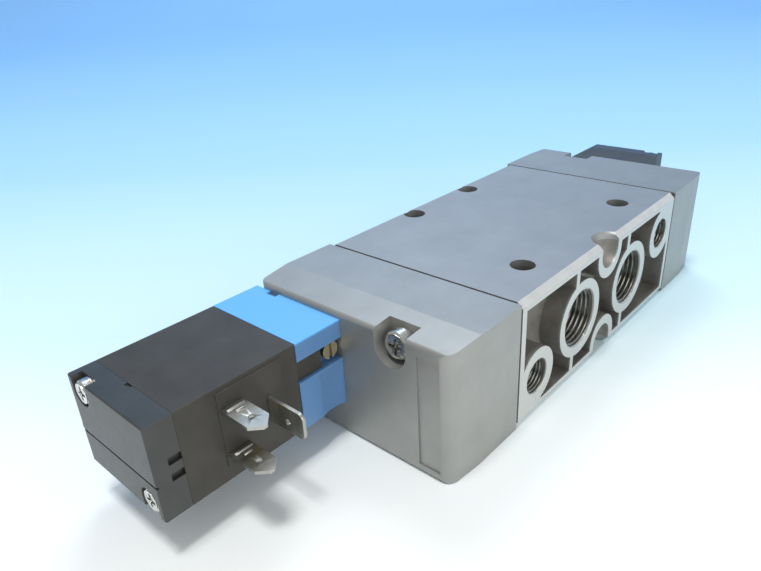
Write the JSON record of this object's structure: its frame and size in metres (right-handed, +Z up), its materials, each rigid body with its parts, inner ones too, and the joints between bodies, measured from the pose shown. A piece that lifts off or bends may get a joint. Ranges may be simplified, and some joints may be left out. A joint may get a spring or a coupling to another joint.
{
  "type": "solenoid directional control valve",
  "caption": "Flat metal spool valve block with threaded ports and a blue-based black solenoid pilot overhanging each end.",
  "frame": {"origin": "middle of the valve body's underside, on the plane it is screwed down to", "axes": "+X along the spool from pilot side a to pilot side b, +Y from the two-port side to the three-port side, +Z up out of the body's top"},
  "size_m": [0.2474, 0.062, 0.035],
  "materials": {
    "body_aluminium": "satin die-cast, with a faint grain",
    "cap_aluminium": "satin die-cast, rubbed bright along the edges",
    "seal_rubber": "matt black",
    "cage_brass": "turned, satin",
    "spool_steel": "ground bright",
    "piston_plastic": "moulded, off-white",
    "blue_plastic": "moulded sky blue, semi-gloss",
    "coil_plastic": "moulded charcoal, satin",
    "cover_plastic": "moulded charcoal, satin",
    "screw_nickel": "nickel plated",
    "bobbin_plastic": "moulded, natural",
    "winding_copper": "enamelled copper wire, seen as one block",
    "magnet_steel": "plated steel",
    "tube_steel": "drawn stainless steel",
    "poppet_rubber": "matt red-brown",
    "spring_steel": "spring wire",
    "blade_tin": "tinned brass, slightly dull",
    "override_brass": "turned, satin"
  },
  "bodies": {
    "valve": {"valve_body": "body_aluminium", "seal_cages": "cage_brass", "seal_rings": "seal_rubber", "end_cap_a": "cap_aluminium", "cap_gasket_a": "seal_rubber", "cap_screws_a": "screw_nickel", "pilot_base_a": "blue_plastic", "port_seals_a": "seal_rubber", "pilot_seat_a": "cage_brass", "coil_shell_a": "coil_plastic", "coil_cover_a": "cover_plastic", "pilot_screws_a": "screw_nickel", "bobbin_a": "bobbin_plastic", "winding_a": "winding_copper", "yoke_a": "magnet_steel", "armature_tube_a": "tube_steel", "fixed_core_a": "magnet_steel", "armature_spring_a": "spring_steel", "contact_one_a": "blade_tin", "contact_two_a": "blade_tin", "earth_contact_a": "blade_tin", "plug_nut_a": "cage_brass", "override_spring_a": "spring_steel", "end_cap_b": "cap_aluminium", "cap_gasket_b": "seal_rubber", "cap_screws_b": "screw_nickel", "pilot_base_b": "blue_plastic", "port_seals_b": "seal_rubber", "pilot_seat_b": "cage_brass", "coil_shell_b": "coil_plastic", "coil_cover_b": "cover_plastic", "pilot_screws_b": "screw_nickel", "bobbin_b": "bobbin_plastic", "winding_b": "winding_copper", "yoke_b": "magnet_steel", "armature_tube_b": "tube_steel", "fixed_core_b": "magnet_steel", "armature_spring_b": "spring_steel", "contact_one_b": "blade_tin", "contact_two_b": "blade_tin", "earth_contact_b": "blade_tin", "plug_nut_b": "cage_brass", "override_spring_b": "spring_steel"},
    "spool_set": {"spool": "spool_steel", "piston_a": "piston_plastic", "piston_b": "piston_plastic", "piston_seal_a": "seal_rubber", "piston_seal_b": "seal_rubber"},
    "armature_set_a": {"armature_a": "magnet_steel", "armature_seal_a": "poppet_rubber"},
    "armature_set_b": {"armature_b": "magnet_steel", "armature_seal_b": "poppet_rubber"},
    "override_pin_a": {"override_a": "override_brass", "override_seal_a": "seal_rubber"},
    "override_pin_b": {"override_b": "override_brass", "override_seal_b": "seal_rubber"}
  },
  "joints": [
    {"name": "spool_slide", "type": "slide", "parent": "valve", "child": "spool_set", "axis": [1, 0, 0], "range_m": [0, 0.006]},
    {"name": "armature_a_slide", "type": "slide", "parent": "valve", "child": "armature_set_a", "axis": [-1, 0, 0], "range_m": [0, 0.0009], "stiffness_N_per_m": 400, "springref_m": -0.004, "deforming": ["armature_spring_a"]},
    {"name": "armature_b_slide", "type": "slide", "parent": "valve", "child": "armature_set_b", "axis": [1, 0, 0], "range_m": [0, 0.0009], "stiffness_N_per_m": 400, "springref_m": -0.004, "deforming": ["armature_spring_b"]},
    {"name": "override_a_push", "type": "slide", "parent": "valve", "child": "override_pin_a", "axis": [0, 1, 0], "range_m": [0, 0.0012], "stiffness_N_per_m": 300, "springref_m": -0.003, "deforming": ["override_spring_a"]},
    {"name": "override_b_push", "type": "slide", "parent": "valve", "child": "override_pin_b", "axis": [0, 1, 0], "range_m": [0, 0.0012], "stiffness_N_per_m": 300, "springref_m": -0.003, "deforming": ["override_spring_b"]}
  ]
}
